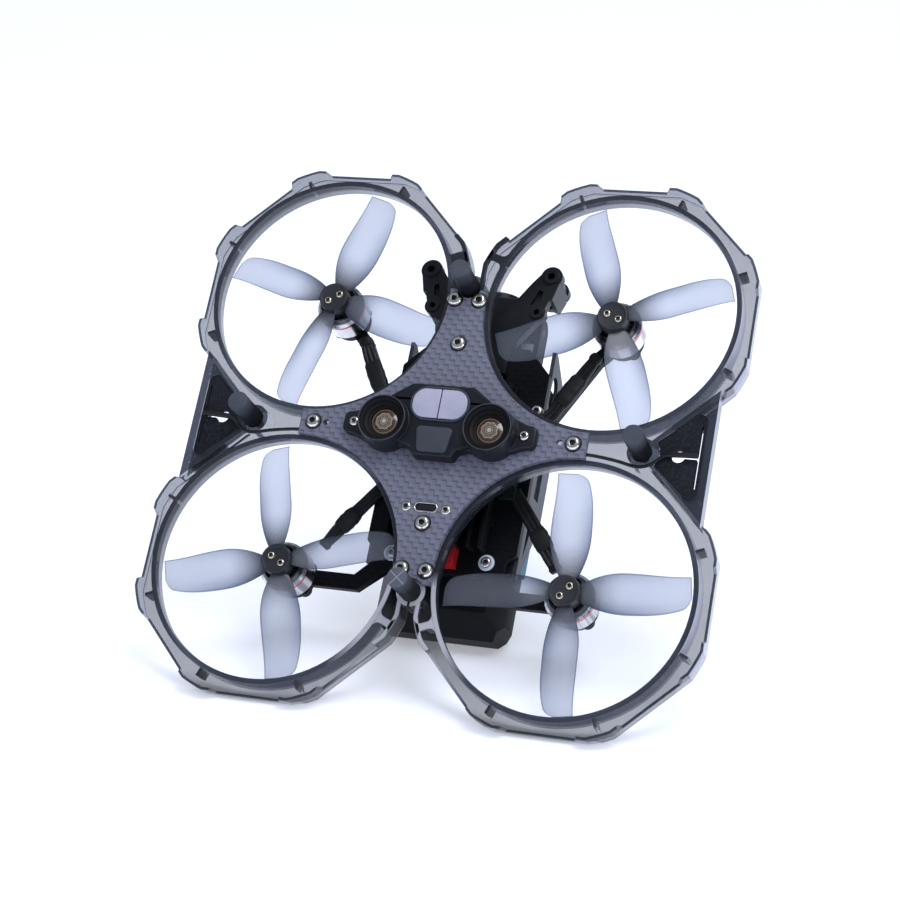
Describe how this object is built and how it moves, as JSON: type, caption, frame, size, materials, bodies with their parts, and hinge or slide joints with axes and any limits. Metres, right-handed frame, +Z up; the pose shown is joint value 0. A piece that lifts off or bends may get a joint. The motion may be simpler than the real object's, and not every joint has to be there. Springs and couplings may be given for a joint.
{
  "type": "fpv racing drone",
  "caption": "Ducted quadcopter with inverted pusher motors in smoke-clear ring guards, a carbon belly plate with a vision module, a tilting camera and a slide-in battery.",
  "frame": {"origin": "midway between the four motor axes, on the plane the four rubber feet stand on", "axes": "+Y forward (camera end), +Z up, +X to the drone's right-hand side"},
  "size_m": [0.2158, 0.2116, 0.0731],
  "materials": {
    "carbon": "carbon-fibre twill, satin",
    "duct_smoke": "smoke-tinted translucent moulding",
    "textured_black": "fine spark-eroded texture",
    "black_plastic": "satin moulded",
    "foot_rubber": "matt",
    "steel_screw": "bright",
    "black_screw": "black oxide",
    "lens_glass": "coated",
    "window_glass": "lilac-grey infrared window",
    "pcb": "solder mask",
    "alloy_dark": "black anodised",
    "alloy_red": "red anodised",
    "alloy_silver": "machined",
    "lamination": "stacked laminations",
    "copper": "enamelled wire",
    "bearing_steel": "ground",
    "magnet_nickel": "plated",
    "wire_black": "silicone sleeve",
    "side_grey": "satin grey",
    "prop_clear": "smoke-clear polycarbonate",
    "gps_ceramic": "ceramic patch",
    "damper_rubber": "soft",
    "battery_case": "fine texture",
    "teal_plastic": "satin",
    "power_red": "satin"
  },
  "bodies": {
    "airframe": {"belly_plate": "carbon", "duct_frame_right": "duct_smoke", "duct_frame_left": "duct_smoke", "side_pads": "textured_black", "antennas": "wire_black", "rubber_feet": "foot_rubber", "plate_screws": "steel_screw", "small_screws": "steel_screw", "vision_housing": "black_plastic", "vision_lens_rims": "black_plastic", "vision_lenses": "lens_glass", "range_window": "window_glass", "vision_cap": "black_plastic", "usb_port": "alloy_silver", "core_shell": "black_plastic", "main_board": "pcb", "esc_board": "pcb", "heat_sink": "alloy_dark", "arm_plate": "carbon", "frame_standoffs": "alloy_red", "frame_screws": "steel_screw", "motor_bases": "alloy_silver", "motor_stators": "lamination", "motor_coils": "copper", "motor_bearings": "bearing_steel", "motor_screws": "black_screw", "motor_wires": "wire_black", "wire_collars": "wire_black", "camera_cage": "black_plastic", "side_plates": "side_grey", "battery_tray": "black_plastic", "battery_socket": "black_plastic", "flight_stack": "pcb", "stack_cover": "black_plastic", "gps_module": "gps_ceramic", "damper_balls": "damper_rubber", "gimbal_bracket": "alloy_dark", "gimbal_motor": "alloy_dark"},
    "camera": {"camera_body": "black_plastic", "camera_lens": "lens_glass"},
    "battery": {"battery_pack": "battery_case"},
    "latch_right": {"latch_button_right": "teal_plastic"},
    "latch_left": {"latch_button_left": "teal_plastic"},
    "power_key": {"power_button": "power_red"},
    "rotor_fr": {"bell_fr": "alloy_silver", "magnets_fr": "magnet_nickel", "propeller_fr": "prop_clear", "prop_screws_fr": "steel_screw"},
    "rotor_fl": {"bell_fl": "alloy_silver", "magnets_fl": "magnet_nickel", "propeller_fl": "prop_clear", "prop_screws_fl": "steel_screw"},
    "rotor_rr": {"bell_rr": "alloy_silver", "magnets_rr": "magnet_nickel", "propeller_rr": "prop_clear", "prop_screws_rr": "steel_screw"},
    "rotor_rl": {"bell_rl": "alloy_silver", "magnets_rl": "magnet_nickel", "propeller_rl": "prop_clear", "prop_screws_rl": "steel_screw"}
  },
  "joints": [
    {"name": "spin_fr", "type": "hinge", "parent": "airframe", "child": "rotor_fr", "pos_m": [0.0553, 0.0532, 0.03], "axis": [0, 0, 1], "continuous": true},
    {"name": "spin_fl", "type": "hinge", "parent": "airframe", "child": "rotor_fl", "pos_m": [-0.0553, 0.0532, 0.03], "axis": [0, 0, 1], "continuous": true},
    {"name": "spin_rr", "type": "hinge", "parent": "airframe", "child": "rotor_rr", "pos_m": [0.0553, -0.0532, 0.03], "axis": [0, 0, 1], "continuous": true},
    {"name": "spin_rl", "type": "hinge", "parent": "airframe", "child": "rotor_rl", "pos_m": [-0.0553, -0.0532, 0.03], "axis": [0, 0, 1], "continuous": true},
    {"name": "camera_tilt", "type": "hinge", "parent": "airframe", "child": "camera", "pos_m": [0, 0.06, 0.059], "axis": [1, 0, 0], "range_deg": [-85, 80]},
    {"name": "battery_slide", "type": "slide", "parent": "airframe", "child": "battery", "axis": [0, -1, 0], "range_m": [0, 0.085]},
    {"name": "latch_right_press", "type": "slide", "parent": "battery", "child": "latch_right", "axis": [-1, 0, 0], "range_m": [0, 0.0012]},
    {"name": "latch_left_press", "type": "slide", "parent": "battery", "child": "latch_left", "axis": [1, 0, 0], "range_m": [0, 0.0012]},
    {"name": "power_press", "type": "slide", "parent": "battery", "child": "power_key", "axis": [0, 0, -1], "range_m": [0, 0.0008]}
  ]
}
